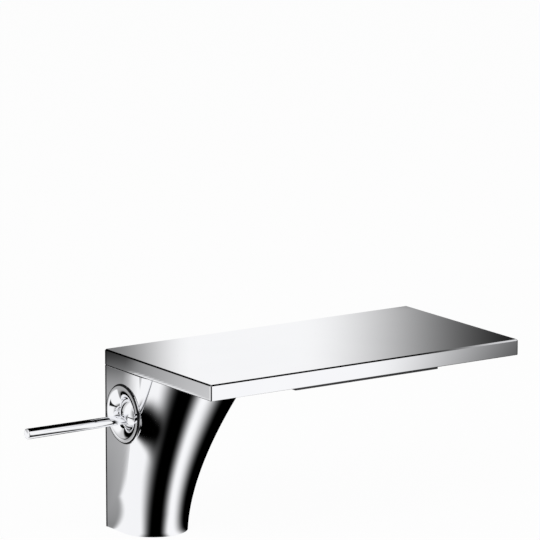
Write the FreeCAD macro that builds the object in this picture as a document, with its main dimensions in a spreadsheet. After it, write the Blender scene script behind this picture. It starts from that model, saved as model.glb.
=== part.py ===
import FreeCAD, Part
import math
import os
import re
import Sketcher

# Basin mixer: a flaring column on a U-shaped foot carries a flat shelf plate with a wide outlet slot
# under its front edge. A lever pin on the column's left face works a ceramic disc cartridge inside.
# The frame: origin on the deck at the tap hole's axis, +X to the right, +Y to the back, +Z up, in mm.
# Depths are counted from the column's flat left face inwards, along the cartridge's axis.

DRIVING_SIZES = {
    # Column
    "foot_width": 45.0,
    "foot_depth": 46.5,
    "top_width": 81.6,
    "top_depth": 83.4,
    "flare_power": 1.625,
    "total_height": 120.0,
    "shell_wall": 3.5,
    "ledge_thickness": 6.0,
    "ledge_side": 7.5,
    "ledge_back": 12.0,
    "ledge_front": 25.4,
    "rebate_margin": 1.8,
    "gasket_height": 1.2,
    "stud_offset": 11.0,
    "stud_tap_radius": 3.4,
    "stud_boss_radius": 7.0,
    "stud_boss_low": 10.0,
    "stud_boss_height": 14.0,
    # Shelf plate
    "plate_thickness": 10.6,
    "plate_length": 242.9,
    "plate_depth": 128.0,
    "plate_top_wall": 2.2,
    "plate_side_wall": 2.0,
    "upright_edge_radius": 1.2,
    "plate_bevel": 0.9,
    "plate_low_edge_radius": 0.4,
    "plate_seal_height": 0.4,
    "plate_seal_inset": 0.3,
    "plate_seal_width": 3.0,
    "tray_floor": 3.0,
    "screw_inset": 7.5,
    "column_screw_radius": 1.65,
    "column_screw_head_radius": 3.6,
    "column_screw_head_height": 2.2,
    "column_screw_socket": 1.5,
    "column_screw_socket_depth": 1.3,
    "tray_screw_radius": 1.25,
    "tray_screw_head_radius": 2.6,
    "tray_screw_head_height": 1.6,
    "tray_screw_socket": 1.1,
    "tray_screw_socket_depth": 1.0,
    "tray_screw_length": 6.4,
    "tray_boss_radius": 3.2,
    # Water channel in the plate
    "channel_half_width": 8.0,
    "channel_wall": 2.0,
    "channel_front_wall": 1.0,
    "channel_gasket_thickness": 1.0,
    "lid_thickness": 2.2,
    "nozzle_length": 112.5,
    "nozzle_shift": 2.6,
    "nozzle_width": 7.0,
    "nozzle_drop": 2.4,
    "nozzle_wall": 1.2,
    "nozzle_lip": 1.0,
    "nozzle_flange": 1.0,
    "nozzle_flange_thickness": 0.9,
    "nozzle_seal_thickness": 0.6,
    "nozzle_lip_height": 1.4,
    "straightener_height": 3.0,
    "straightener_wall": 0.7,
    "straightener_cells": 26.0,
    # Riser between the valve block and the plate
    "riser_radius": 4.3,
    "riser_bore_radius": 2.6,
    "riser_socket_depth": 5.5,
    "ring_section_radius": 0.5,
    # Lever and rosette
    "lever_from_back": 23.2,
    "lever_below_plate": 28.9,
    "rosette_overlap": 1.1,
    "rosette_rise": 1.2,
    "rosette_bevel": 0.95,
    "rosette_rim": 2.2,
    "rosette_skin": 1.0,
    "dish_depth": 3.9,
    "dish_radius": 8.3,
    "ball_radius": 12.0,
    "ball_depth": 11.5,
    "ball_gap": 0.4,
    "ball_rim_inset": 1.67,
    "ball_recess_depth": 5.2,
    "ball_wall": 1.3,
    "pin_radius": 3.15,
    "pin_tip_radius": 3.5,
    "pin_reach": 73.5,
    "pin_drop": 3.5,
    "pin_seat": 3.3,
    "pin_chamfer": 0.5,
    "tenon_radius": 2.0,
    "tenon_length": 2.8,
    # Cartridge
    "flow_angle": 26.0,
    "temperature_angle": 45.0,
    "counterbore_depth": 4.2,
    "boss_depth": 6.5,
    "boss_wall": 2.0,
    "nut_reach": 3.0,
    "nut_step": 1.45,
    "nut_flange_width": 1.8,
    "nut_ball_gap": 0.7,
    "nut_flange_thickness": 1.6,
    "nut_notch_width": 3.0,
    "nut_notch_count": 6.0,
    "cartridge_length": 23.5,
    "housing_room": 1.66,
    "housing_wall": 1.84,
    "housing_mouth_gap": 0.9,
    "housing_lip": 1.1,
    "stop_thickness": 1.8,
    "stop_width": 1.76,
    "stop_lug_angle": 24.0,
    "stop_play_angle": 4.0,
    "rotor_clearance": 0.06,
    "ear_radius": 4.6,
    "ear_gap": 7.6,
    "ear_thickness": 2.6,
    "pivot_radius": 1.6,
    "spindle_height": 6.0,
    "spindle_neck_radius": 1.5,
    "spindle_end_radius": 2.6,
    "slider_thickness": 6.0,
    "slider_width": 17.0,
    "socket_floor": 0.5,
    "peg_radius": 1.2,
    "peg_length": 1.0,
    "peg_spread": 5.6,
    "moving_disc_radius": 8.3,
    "moving_disc_thickness": 3.0,
    "recess_depth": 1.4,
    "fixed_disc_gap": 0.26,
    "fixed_disc_thickness": 3.4,
    "base_thickness": 4.0,
    "port_radius": 2.4,
    "inlet_port_spread": 6.5,
    "inlet_port_drop": 3.5,
    "outlet_port_rise": 5.0,
    "seal_ring_radius": 3.7,
    "locating_peg_radius": 1.5,
    "locating_peg_length": 2.0,
    "locating_peg_spread": 11.5,
    # Valve block
    "block_wall": 2.0,
    "block_gap": 0.4,
    "block_below": 25.5,
    "block_corner_radius": 6.0,
    "leg_height": 11.0,
    "leg_wall": 3.0,
    "inlet_x": 6.0,
    "inlet_thread_radius": 4.5,
    "core_radius": 2.8,
    "core_offset": 5.2,
    "core_wall": 1.5,
    # Clearances
    "clearance": 0.15,
    "running_clearance": 0.05,
    "press_clearance": 0.02,
    "water_film": 0.02,
    "slide_clearance": 0.3,
}

DERIVED_SIZES = {
    # Column and plate
    "body_height": "total_height - plate_thickness",
    "column_top": "body_height - plate_seal_height",
    "left_x": "-foot_width / 2",
    "back_y": "foot_depth - foot_width / 2",
    "plate_right_x": "left_x + plate_length",
    "plate_middle_x": "left_x + plate_length / 2",
    "plate_front_y": "back_y - plate_depth",
    "lever_y": "back_y - lever_from_back",
    "lever_height": "body_height - lever_below_plate",
    "floor_top_z": "body_height + tray_floor",
    "ceiling_z": "total_height - plate_top_wall",
    "stud_x": "-stud_offset",
    "top_centre_x": "left_x + top_width / 2",
    "top_centre_y": "back_y - top_depth + top_width / 2",
    "front_screw_arm": "(top_width / 2 - screw_inset) * sqrt(0.5)",
    # Cartridge round the ball, from the ball outwards
    "ball_recess_radius": "sqrt(ball_radius ^ 2 - ball_recess_depth ^ 2) - ball_wall",
    "nut_bore_radius": "ball_radius + nut_ball_gap",
    "housing_mouth_radius": "ball_radius + housing_mouth_gap",
    "housing_bore_radius": "ball_radius + housing_room",
    "stop_inner_radius": "housing_bore_radius - stop_width",
    "fixed_disc_radius": "housing_bore_radius - fixed_disc_gap",
    "housing_radius": "housing_bore_radius + housing_wall",
    "nut_thread_radius": "housing_radius + nut_step",
    "nut_flange_radius": "nut_thread_radius + nut_flange_width",
    "counterbore_radius": "nut_flange_radius + clearance",
    "rosette_radius": "counterbore_radius + rosette_overlap",
    # Cartridge stack, from the left face inwards
    "pin_root_depth": "ball_depth - ball_radius + pin_seat",
    "nut_end": "ball_depth + nut_reach",
    "pocket_depth": "nut_end + cartridge_length",
    "base_front": "pocket_depth - base_thickness",
    "fixed_front": "base_front - fixed_disc_thickness",
    "moving_back": "fixed_front - water_film",
    "moving_front": "moving_back - moving_disc_thickness",
    "slider_front": "moving_front - slider_thickness",
    "stop_front": "nut_end + housing_lip",
    "rotor_front": "stop_front + stop_thickness + slide_clearance",
    "rotor_floor": "slider_front - slide_clearance",
    "rotor_radius": "housing_bore_radius - rotor_clearance",
    "rotor_end": "moving_front - slide_clearance",
    "ear_half": "ear_gap / 2",
    "fork_half": "ear_half + ear_thickness",
    "end_depth": "slider_front + slider_thickness - socket_floor - spindle_end_radius - slide_clearance",
    "spindle_arm": "end_depth - ball_depth",
    "disc_travel": "spindle_arm * sin(flow_angle * 1 deg)",
    "disc_lift": "disc_travel / 2",
    "slider_reach": "sqrt(housing_bore_radius ^ 2 - slider_width ^ 2 / 4) - disc_lift - slide_clearance",
    "slot_high": "spindle_height / 2 + 2 * slide_clearance",
    "slot_low": "slot_high + (rotor_floor - ball_depth) * tan(flow_angle * 1 deg) - slide_clearance",
    # Valve block and waterways
    "thread_bore_radius": "nut_thread_radius + running_clearance",
    "pocket_radius": "housing_radius + clearance",
    "block_front_y": "lever_y - thread_bore_radius - block_wall",
    "block_back_y": "back_y - shell_wall - block_gap",
    "block_top": "body_height - ledge_thickness - block_gap",
    "block_step": "lever_height - block_below",
    "core_x": "left_x + pocket_depth + core_offset",
    "riser_socket_radius": "riser_radius + running_clearance",
    "block_right_x": "core_x + riser_socket_radius + core_wall",
    "block_bottom": "block_step - leg_height",
    "leg_reach": "inlet_thread_radius + leg_wall",
    "core_z": "block_step + core_wall + core_radius",
    "riser_low": "block_top - riser_socket_depth",
    # Water channel and nozzle
    "nozzle_left": "plate_middle_x + nozzle_shift - nozzle_length / 2",
    "nozzle_right": "plate_middle_x + nozzle_shift + nozzle_length / 2",
    "channel_front_y": "plate_front_y + plate_side_wall + clearance + channel_front_wall",
    "nozzle_front_y": "channel_front_y + clearance + nozzle_flange",
    "nozzle_back_y": "nozzle_front_y + nozzle_width",
    "channel_end_left": "nozzle_left - nozzle_flange - clearance",
    "channel_end_right": "nozzle_right + nozzle_flange + clearance",
    "channel_back_y": "nozzle_back_y + nozzle_flange + channel_wall",
    "channel_turn_x": "left_x + top_width + channel_wall",
    "lid_low": "ceiling_z - lid_thickness",
    "gasket_low": "lid_low - channel_gasket_thickness",
    "nozzle_low": "body_height - nozzle_drop",
    "flange_low": "floor_top_z + nozzle_seal_thickness",
    "flange_top": "flange_low + nozzle_flange_thickness",
    "straightener_low": "nozzle_low + nozzle_lip_height",
}

doc = FreeCAD.newDocument("basin_mixer")
sheet = doc.addObject("Spreadsheet::Sheet", "Sizes")
ALIASES = set(DRIVING_SIZES) | set(DERIVED_SIZES)


def tied(formula):
    """Turns a formula in plain size names into one that points at the sheet's cells."""
    def cell(match):
        word = match.group(0)
        return "Sizes." + word if word in ALIASES else word
    return re.sub(r"[a-z_]+", cell, formula)


def value(formula):
    """The number that a formula gives now."""
    return float(sheet.evalExpression(tied(formula)))


def fill_sheet():
    row = 0
    for name, number in DRIVING_SIZES.items():
        row += 1
        sheet.set(f"A{row}", str(number))
        sheet.setAlias(f"A{row}", name)
    for name, formula in DERIVED_SIZES.items():
        row += 1
        sheet.set(f"A{row}", "=" + formula)
        sheet.setAlias(f"A{row}", name)
    doc.recompute()


def bind(thing, **formulas):
    """Ties properties to the sheet; a double underscore in a name stands for a dot."""
    for name, formula in formulas.items():
        thing.setExpression(name.replace("__", "."), tied(formula))


def new_body(label, x="0", y="0", z="0"):
    body = doc.addObject("PartDesign::Body", label)
    body.Label = label
    bind(body, Placement__Base__x=x, Placement__Base__y=y, Placement__Base__z=z)
    return body


def on_lever_axis(label, depth="0", drop="0"):
    """A body whose local origin lies on the cartridge's axis, at a depth from the left face."""
    return new_body(label, f"left_x + {depth}", "lever_y", f"lever_height - ({drop})")


def box(body, kind, x, y, z):
    """A box between the low and high formulas of each direction; kind is Additive or Subtractive."""
    block = body.newObject(f"PartDesign::{kind}Box", "box")
    sides = (("Length", "x", x), ("Width", "y", y), ("Height", "z", z))
    for size, axis, (low, high) in sides:
        block.setExpression(size, tied(f"({high}) - ({low})"))
        block.setExpression(f"Placement.Base.{axis}", tied(low))
    return block


TURNS = {
    "X": FreeCAD.Rotation(FreeCAD.Vector(0, 1, 0), 90),
    "Y": FreeCAD.Rotation(FreeCAD.Vector(1, 0, 0), -90),
    "Z": FreeCAD.Rotation(),
}


def rod(body, kind, axis, start, length, radius):
    """A cylinder that runs from its start point in the axis's plus direction."""
    cylinder = body.newObject(f"PartDesign::{kind}Cylinder", "rod")
    cylinder.Placement = FreeCAD.Placement(FreeCAD.Vector(), TURNS[axis])
    bind(cylinder, Radius=radius, Height=length)
    for letter, formula in zip("xyz", start):
        cylinder.setExpression(f"Placement.Base.{letter}", tied(formula))
    return cylinder


def plane_of(body, role):
    return next(plane for plane in body.Origin.OriginFeatures if plane.Role == role)


def arc_between(first, last, radius, turn):
    """An arc from first to last; turn is 1 with the centre on the left of the way, -1 on the right."""
    chord = last - first
    half = chord.Length / 2
    side = FreeCAD.Vector(-chord.y, chord.x, 0).normalize()
    centre = (first + last) / 2 + side * turn * math.sqrt(max(radius ** 2 - half ** 2, 0))
    start, end = (first, last) if turn > 0 else (last, first)
    angles = [math.atan2(point.y - centre.y, point.x - centre.x) for point in (start, end)]
    circle = Part.Circle(centre, FreeCAD.Vector(0, 0, 1), radius)
    return Part.ArcOfCircle(circle, angles[0], angles[1])


def add_outline(sketch, corners):
    """Draws a closed outline, every corner tied to the sheet.

    A corner is (x, y), and the stretch from it to the next is straight, or (x, y, radius, turn),
    and that stretch is an arc.
    """
    points = [FreeCAD.Vector(value(corner[0]), value(corner[1]), 0) for corner in corners]
    stretches = []
    for index, corner in enumerate(corners):
        first = points[index]
        last = points[(index + 1) % len(points)]
        if len(corner) == 2:
            number = sketch.addGeometry(Part.LineSegment(first, last), False)
            stretches.append((number, 1, 2))
        else:
            radius, turn = corner[2:]
            number = sketch.addGeometry(arc_between(first, last, value(radius), turn), False)
            stretches.append((number, 1, 2) if turn > 0 else (number, 2, 1))
    for index, (number, start, end) in enumerate(stretches):
        following, next_start, _ = stretches[(index + 1) % len(stretches)]
        sketch.addConstraint(Sketcher.Constraint("Coincident", number, end, following, next_start))
    for corner, point, (number, start, end) in zip(corners, points, stretches):
        across = sketch.addConstraint(Sketcher.Constraint("DistanceX", -1, 1, number, start, point.x))
        along = sketch.addConstraint(Sketcher.Constraint("DistanceY", -1, 1, number, start, point.y))
        sketch.setExpression(f"Constraints[{across}]", tied(corner[0]))
        sketch.setExpression(f"Constraints[{along}]", tied(corner[1]))
        if len(corner) > 2:
            bend = sketch.addConstraint(Sketcher.Constraint("Radius", number, value(corner[2])))
            sketch.setExpression(f"Constraints[{bend}]", tied(corner[2]))


def new_sketch(body, role, *outlines, height="0"):
    sketch = body.newObject("Sketcher::SketchObject", "sketch")
    sketch.AttachmentSupport = [(plane_of(body, role), "")]
    sketch.MapMode = "FlatFace"
    sketch.setExpression("AttachmentOffset.Base.z", tied(height))
    for corners in outlines:
        add_outline(sketch, corners)
    return sketch


def pad(body, low, height, *outlines):
    """A slab of upright walls over outlines seen from above; the second outline is a hole."""
    feature = body.newObject("PartDesign::Pad", "pad")
    feature.Profile = new_sketch(body, "XY_Plane", *outlines, height=low)
    bind(feature, Length=height)
    return feature


def turned(body, corners):
    """A full turn about the body's own X axis of a profile given as (depth, radius) corners."""
    feature = body.newObject("PartDesign::Revolution", "turned")
    sketch = new_sketch(body, "XZ_Plane", corners)
    feature.Profile = sketch
    feature.ReferenceAxis = (sketch, ["H_Axis"])
    feature.Angle = 360
    return feature


def around_axis(body, feature, count):
    """Repeats a feature evenly about the body's own X axis."""
    pattern = body.newObject("PartDesign::PolarPattern", "around")
    pattern.Originals = [feature]
    pattern.Axis = (plane_of(body, "X_Axis"), [""])
    pattern.Angle = 360
    bind(pattern, Occurrences=count)
    body.Tip = pattern
    return pattern


def group(label, pieces):
    """Separate solids of one kind in one node."""
    compound = doc.addObject("Part::Compound", label)
    compound.Label = label
    compound.Links = pieces
    return compound


def free_cylinder(x, y, z, length, radius):
    cylinder = doc.addObject("Part::Cylinder", "cylinder")
    bind(cylinder, Radius=radius, Height=length)
    bind(cylinder, Placement__Base__x=x, Placement__Base__y=y, Placement__Base__z=z)
    return cylinder


def socket_screw(x, y, shank, head, socket):
    """A screw with a six-sided socket; each argument is its low end, its length and its radius."""
    solids = [free_cylinder(x, y, *shank), free_cylinder(x, y, *head)]
    blank = doc.addObject("Part::MultiFuse", "blank")
    blank.Shapes = solids
    low, depth, radius = socket
    hexagon = doc.addObject("Part::Prism", "hexagon")
    hexagon.Polygon = 6
    bind(hexagon, Circumradius=radius, Height=depth)
    bind(hexagon, Placement__Base__x=x, Placement__Base__y=y, Placement__Base__z=low)
    screw = doc.addObject("Part::Cut", "screw")
    screw.Base = blank
    screw.Tool = hexagon
    return screw


def free_ring(x, y, z, ring_radius, section_radius, facing):
    ring = doc.addObject("Part::Torus", "ring")
    ring.Placement = FreeCAD.Placement(FreeCAD.Vector(), TURNS[facing])
    bind(ring, Radius1=ring_radius, Radius2=section_radius)
    bind(ring, Placement__Base__x=x, Placement__Base__y=y, Placement__Base__z=z)
    return ring


# Column

def u_outline(width, depth, inset="0", edge=None):
    """Flat left and back sides, a round front as wide as the section, drawn in by the inset.

    With an edge radius, the two corners at the back are rounded by it.
    """
    left = f"left_x + ({inset})"
    right = f"left_x + ({width}) - ({inset})"
    back = f"back_y - ({inset})"
    radius = f"({width}) / 2 - ({inset})"
    shoulder = f"back_y - ({depth}) + ({width}) / 2"
    middle = f"left_x + ({width}) / 2"
    front = f"back_y - ({depth}) + ({inset})"
    corners = [(left, back), (right, back)]
    if edge:
        corners = [
            (left, f"{back} - {edge}", edge, -1),
            (f"{left} + {edge}", back),
            (f"{right} - {edge}", back, edge, -1),
            (right, f"{back} - {edge}"),
        ]
    return corners + [
        (right, shoulder, radius, -1),
        (middle, front, radius, -1),
        (left, shoulder),
    ]


def grown(foot, top, height):
    """A section's size at a height: it grows from foot to top by the flare's power of the height."""
    return f"({foot} + ({top} - {foot}) * (({height}) / body_height) ^ flare_power)"


SECTION_SHARES = (0.0, 0.25, 0.5, 0.75, 1.0)


def column_loft(body, kind, top_height, inset, edge=None):
    sections = []
    for share in SECTION_SHARES:
        height = f"({top_height}) * {share}"
        width = grown("foot_width", "top_width", height)
        depth = grown("foot_depth", "top_depth", height)
        outline = u_outline(width, depth, inset, edge)
        sections.append(new_sketch(body, "XY_Plane", outline, height=height))
    loft = body.newObject(f"PartDesign::{kind}Loft", "flare")
    loft.Profile = sections[0]
    loft.Sections = sections[1:]
    return loft


COLUMN_SCREWS = (
    ("left_x + screw_inset", "back_y - screw_inset"),
    ("left_x + top_width - screw_inset", "back_y - screw_inset"),
    ("top_centre_x - front_screw_arm", "top_centre_y - front_screw_arm"),
    ("top_centre_x + front_screw_arm", "top_centre_y - front_screw_arm"),
)


def make_body_shell():
    body = new_body("body_shell")
    column_loft(body, "Additive", "column_top", "0", "upright_edge_radius")
    column_loft(body, "Subtractive", "body_height - ledge_thickness", "shell_wall")
    box(body, "Subtractive",
        ("left_x + ledge_side", "left_x + top_width - 2 * ledge_side"),
        ("back_y - top_depth + ledge_front", "back_y - ledge_back"),
        ("body_height - 2 * ledge_thickness", "body_height + ledge_thickness"))
    axis_start = ("left_x", "lever_y", "lever_height")
    rod(body, "Additive", "X", axis_start, "boss_depth", "rosette_radius")
    rod(body, "Subtractive", "X", axis_start, "counterbore_depth", "counterbore_radius")
    rod(body, "Subtractive", "X", axis_start, "boss_depth", "nut_thread_radius + clearance")
    box(body, "Additive",
        ("left_x + shell_wall / 2", "stud_x"),
        ("-stud_boss_radius", "stud_boss_radius"),
        ("stud_boss_low", "stud_boss_low + stud_boss_height"))
    stud_start = ("stud_x", "0", "stud_boss_low")
    rod(body, "Additive", "Z", stud_start, "stud_boss_height", "stud_boss_radius")
    rod(body, "Subtractive", "Z", stud_start, "stud_boss_height", "stud_tap_radius")
    pocket_up(body, "gasket_height", u_outline("foot_width", "foot_depth", "rebate_margin"))
    for x, y in COLUMN_SCREWS:
        rod(body, "Subtractive", "Z", (x, y, "body_height - ledge_thickness"), "ledge_thickness",
            "column_screw_radius + running_clearance")
    return body


def pocket_up(body, height, outline):
    """Cuts upwards from the deck plane inside an outline."""
    feature = body.newObject("PartDesign::Pocket", "rebate")
    feature.Profile = new_sketch(body, "XY_Plane", outline)
    feature.Reversed = True
    bind(feature, Length=height)
    return feature


def make_base_gasket():
    body = new_body("base_gasket")
    outer = u_outline("foot_width", "foot_depth", "rebate_margin + press_clearance")
    inner = u_outline("foot_width", "foot_depth", "shell_wall")
    pad(body, "0", "gasket_height", outer, inner)
    return body


def make_plate_seal():
    """A flat seal between the column's top and the plate, set back a little from the outside."""
    body = new_body("plate_seal")
    outer = u_outline("top_width", "top_depth", "plate_seal_inset", "upright_edge_radius")
    inner = u_outline("top_width", "top_depth", "plate_seal_inset + plate_seal_width")
    pad(body, "column_top", "plate_seal_height", outer, inner)
    return body


# Valve block and riser

PORTS = (
    ("inlet_port_spread", "-inlet_port_drop"),
    ("-inlet_port_spread", "-inlet_port_drop"),
    ("0", "outlet_port_rise"),
)


def make_valve_block():
    body = new_body("valve_block")
    left = "left_x + boss_depth"
    pad(body, "block_step", "block_top - block_step", [
        (left, "block_back_y"),
        ("block_right_x", "block_back_y"),
        ("block_right_x", "block_front_y + block_corner_radius", "block_corner_radius", -1),
        ("block_right_x - block_corner_radius", "block_front_y"),
        (left, "block_front_y"),
    ])
    box(body, "Additive",
        ("inlet_x - leg_reach", "inlet_x + leg_reach"),
        ("lever_y - inlet_port_spread - leg_reach", "lever_y + inlet_port_spread + leg_reach"),
        ("block_bottom", "block_step"))
    axis_start = (left, "lever_y", "lever_height")
    rod(body, "Subtractive", "X", axis_start, "nut_end - boss_depth", "thread_bore_radius")
    rod(body, "Subtractive", "X", axis_start, "pocket_depth - boss_depth", "pocket_radius")
    for side, rise in PORTS:
        port_start = ("left_x + pocket_depth", f"lever_y + {side}", f"lever_height + {rise}")
        rod(body, "Subtractive", "X", port_start, "core_offset", "port_radius")
    for side in ("inlet_port_spread", "-inlet_port_spread"):
        y = f"lever_y + {side}"
        rod(body, "Subtractive", "Z", ("inlet_x", y, "block_bottom"),
            "core_z + core_radius - block_bottom", "inlet_thread_radius")
        rod(body, "Subtractive", "X", ("inlet_x", y, "core_z"), "core_x - inlet_x", "core_radius")
        rod(body, "Subtractive", "Z", ("core_x", y, "core_z"),
            "lever_height - inlet_port_drop + port_radius - core_z", "core_radius")
    rod(body, "Subtractive", "Z", ("core_x", "lever_y", "lever_height + outlet_port_rise - port_radius"),
        "block_top - lever_height - outlet_port_rise + port_radius", "riser_bore_radius")
    rod(body, "Subtractive", "Z", ("core_x", "lever_y", "riser_low"), "riser_socket_depth",
        "riser_socket_radius")
    for side in ("locating_peg_spread", "-locating_peg_spread"):
        rod(body, "Subtractive", "X", ("left_x + pocket_depth", f"lever_y + {side}", "lever_height"),
            "locating_peg_length", "locating_peg_radius + running_clearance")
    return body


RISER_RING_HEIGHTS = (
    "riser_low + riser_socket_depth / 2",
    "body_height + tray_floor / 2",
)


def make_riser():
    tube = new_body("riser_tube", "core_x", "lever_y", "0")
    rod(tube, "Additive", "Z", ("0", "0", "riser_low"), "floor_top_z - riser_low", "riser_radius")
    rod(tube, "Subtractive", "Z", ("0", "0", "riser_low"), "floor_top_z - riser_low", "riser_bore_radius")
    rings = []
    for height in RISER_RING_HEIGHTS:
        groove = tube.newObject("PartDesign::Groove", "groove")
        inner = "riser_radius - 2 * ring_section_radius"
        outer = "riser_radius + 2 * ring_section_radius"
        low = f"{height} - ring_section_radius - press_clearance"
        high = f"{height} + ring_section_radius + press_clearance"
        sketch = new_sketch(tube, "XZ_Plane", [(inner, low), (outer, low), (outer, high), (inner, high)])
        groove.Profile = sketch
        groove.ReferenceAxis = (sketch, ["V_Axis"])
        groove.Angle = 360
        rings.append(free_ring("core_x", "lever_y", height,
                               "riser_radius - ring_section_radius + press_clearance",
                               "ring_section_radius", "Z"))
    return tube, group("riser_rings", rings)


# Plate

CHANNEL_INSIDE = [
    ("core_x - channel_half_width", "lever_y + channel_half_width"),
    ("plate_middle_x", "lever_y + channel_half_width"),
    ("channel_end_right", "channel_back_y"),
    ("channel_end_right", "channel_front_y"),
    ("channel_end_left", "channel_front_y"),
    ("channel_end_left", "channel_back_y"),
    ("channel_turn_x", "lever_y - channel_half_width"),
    ("core_x - channel_half_width", "lever_y - channel_half_width"),
]
WALL_STEPS = [(-1, 1), (1, 1), (1, 1), (1, 0), (-1, 0), (-1, 0), (-1, -1), (-1, -1)]


def channel_outside():
    """The channel's outline stepped out by its wall, and by its thinner wall along the front."""
    corners = []
    for (x, y), (across, along) in zip(CHANNEL_INSIDE, WALL_STEPS):
        step_y = f"{along} * channel_wall"
        if y == "channel_front_y":
            step_y = "-channel_front_wall"
        corners.append((f"{x} + {across} * channel_wall", f"{y} + {step_y}"))
    return corners


TRAY_SCREWS = (
    ("left_x + top_width + 2 * screw_inset", "back_y - screw_inset"),
    ("(left_x + top_width + plate_right_x) / 2", "back_y - screw_inset"),
    ("plate_right_x - screw_inset", "back_y - screw_inset"),
    ("plate_right_x - screw_inset", "(back_y + plate_front_y) / 2"),
    ("plate_right_x - screw_inset", "plate_front_y + screw_inset"),
    ("left_x + screw_inset", "plate_front_y + screw_inset"),
    ("left_x + screw_inset", "back_y - top_depth - screw_inset"),
)


def make_plate_tray():
    body = new_body("plate_tray")
    box(body, "Additive",
        ("left_x + plate_side_wall + clearance", "plate_right_x - plate_side_wall - clearance"),
        ("plate_front_y + plate_side_wall + clearance", "back_y - plate_side_wall - clearance"),
        ("body_height", "floor_top_z"))
    pad(body, "floor_top_z", "gasket_low - floor_top_z", channel_outside(), CHANNEL_INSIDE)
    box(body, "Subtractive",
        ("nozzle_left - clearance", "nozzle_right + clearance"),
        ("nozzle_front_y - clearance", "nozzle_back_y + clearance"),
        ("body_height", "floor_top_z"))
    rod(body, "Subtractive", "Z", ("core_x", "lever_y", "body_height"), "tray_floor", "riser_socket_radius")
    for x, y in COLUMN_SCREWS:
        start = (x, y, "body_height")
        rod(body, "Subtractive", "Z", start, "tray_floor", "column_screw_radius + clearance")
    for x, y in TRAY_SCREWS:
        start = (x, y, "body_height")
        rod(body, "Subtractive", "Z", start, "tray_floor", "tray_screw_radius + clearance")
        rod(body, "Subtractive", "Z", start, "tray_screw_head_height", "tray_screw_head_radius + clearance")
    return body


def make_plate_screws():
    """Pan-head screws down through the tray into the column's ledge."""
    shank = ("body_height - ledge_thickness", "ledge_thickness + tray_floor", "column_screw_radius")
    head = ("floor_top_z", "column_screw_head_height", "column_screw_head_radius")
    socket_low = "floor_top_z + column_screw_head_height - column_screw_socket_depth"
    socket = (socket_low, "column_screw_socket_depth", "column_screw_socket")
    return group("plate_screws", [socket_screw(x, y, shank, head, socket) for x, y in COLUMN_SCREWS])


def make_tray_screws():
    """Screws up through the tray into the cover's bosses, heads sunk flush."""
    shank = ("body_height", "tray_screw_length", "tray_screw_radius")
    head = ("body_height", "tray_screw_head_height", "tray_screw_head_radius")
    socket = ("body_height", "tray_screw_socket_depth", "tray_screw_socket")
    return group("tray_screws", [socket_screw(x, y, shank, head, socket) for x, y in TRAY_SCREWS])


def make_channel_cover():
    gasket = new_body("channel_gasket")
    pad(gasket, "gasket_low", "channel_gasket_thickness", channel_outside(), CHANNEL_INSIDE)
    lid = new_body("channel_lid")
    pad(lid, "lid_low", "lid_thickness", channel_outside())
    return gasket, lid


def make_outlet():
    nozzle = new_body("outlet_nozzle")
    box(nozzle, "Additive", ("nozzle_left", "nozzle_right"), ("nozzle_front_y", "nozzle_back_y"),
        ("nozzle_low", "flange_top"))
    box(nozzle, "Additive",
        ("nozzle_left - nozzle_flange", "nozzle_right + nozzle_flange"),
        ("nozzle_front_y - nozzle_flange", "nozzle_back_y + nozzle_flange"),
        ("flange_low", "flange_top"))
    box(nozzle, "Subtractive",
        ("nozzle_left + nozzle_wall", "nozzle_right - nozzle_wall"),
        ("nozzle_front_y + nozzle_wall", "nozzle_back_y - nozzle_wall"),
        ("straightener_low", "flange_top"))
    box(nozzle, "Subtractive",
        ("nozzle_left + nozzle_wall + nozzle_lip", "nozzle_right - nozzle_wall - nozzle_lip"),
        ("nozzle_front_y + nozzle_wall + nozzle_lip", "nozzle_back_y - nozzle_wall - nozzle_lip"),
        ("nozzle_low", "straightener_low"))

    seal = new_body("nozzle_seal")
    flange_rectangle = rectangle("nozzle_left - nozzle_flange", "nozzle_right + nozzle_flange",
                                 "nozzle_front_y - nozzle_flange", "nozzle_back_y + nozzle_flange")
    neck_rectangle = rectangle("nozzle_left - press_clearance", "nozzle_right + press_clearance",
                               "nozzle_front_y - press_clearance", "nozzle_back_y + press_clearance")
    pad(seal, "floor_top_z", "nozzle_seal_thickness", flange_rectangle, neck_rectangle)
    return nozzle, seal


def rectangle(left, right, front, back):
    return [(left, front), (right, front), (right, back), (left, back)]


def make_flow_straightener():
    """A row of upright cells that fills the nozzle."""
    body = new_body("flow_straightener")
    left = "nozzle_left + nozzle_wall + press_clearance"
    right = "nozzle_right - nozzle_wall - press_clearance"
    front = "nozzle_front_y + nozzle_wall + press_clearance"
    back = "nozzle_back_y - nozzle_wall - press_clearance"
    box(body, "Additive", (left, right), (front, back),
        ("straightener_low", "straightener_low + straightener_height"))
    pitch = f"({right} - straightener_wall - ({left})) / straightener_cells"
    cell = box(body, "Subtractive",
               (f"{left} + straightener_wall", f"{left} + {pitch}"),
               (f"{front} + straightener_wall", f"{back} - straightener_wall"),
               ("straightener_low", "straightener_low + straightener_height"))
    row = body.newObject("PartDesign::LinearPattern", "cells")
    row.Originals = [cell]
    row.Direction = (plane_of(body, "X_Axis"), [""])
    bind(row, Length=f"{pitch} * (straightener_cells - 1)", Occurrences="straightener_cells")
    body.Tip = row
    return body


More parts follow.
